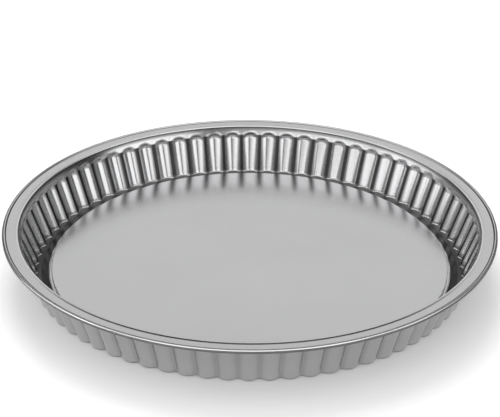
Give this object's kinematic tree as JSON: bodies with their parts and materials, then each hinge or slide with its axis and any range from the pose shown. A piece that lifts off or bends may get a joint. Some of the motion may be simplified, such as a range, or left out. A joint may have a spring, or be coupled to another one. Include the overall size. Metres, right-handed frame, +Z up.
{
  "type": "tart pan",
  "caption": "Round fluted tart pan with a flat rolled rim, a ledge with a wide push-out hole, and a loose flat base disc that lifts straight out.",
  "frame": {"origin": "centre of the circle that the pan stands on, on the surface it stands on", "axes": "+Z up along the pan's round axis, out of its open side; the middle of a flute faces -Y"},
  "size_m": [0.3, 0.3, 0.0306],
  "materials": {
    "ring_steel": "satin pressed steel",
    "disc_steel": "satin rolled steel"
  },
  "bodies": {
    "ring": {"ring": "ring_steel"},
    "disc": {"base_disc": "disc_steel"}
  },
  "joints": [
    {"name": "disc_lift", "type": "slide", "parent": "ring", "child": "disc", "axis": [0, 0, 1], "range_m": [0, 0.088]}
  ]
}
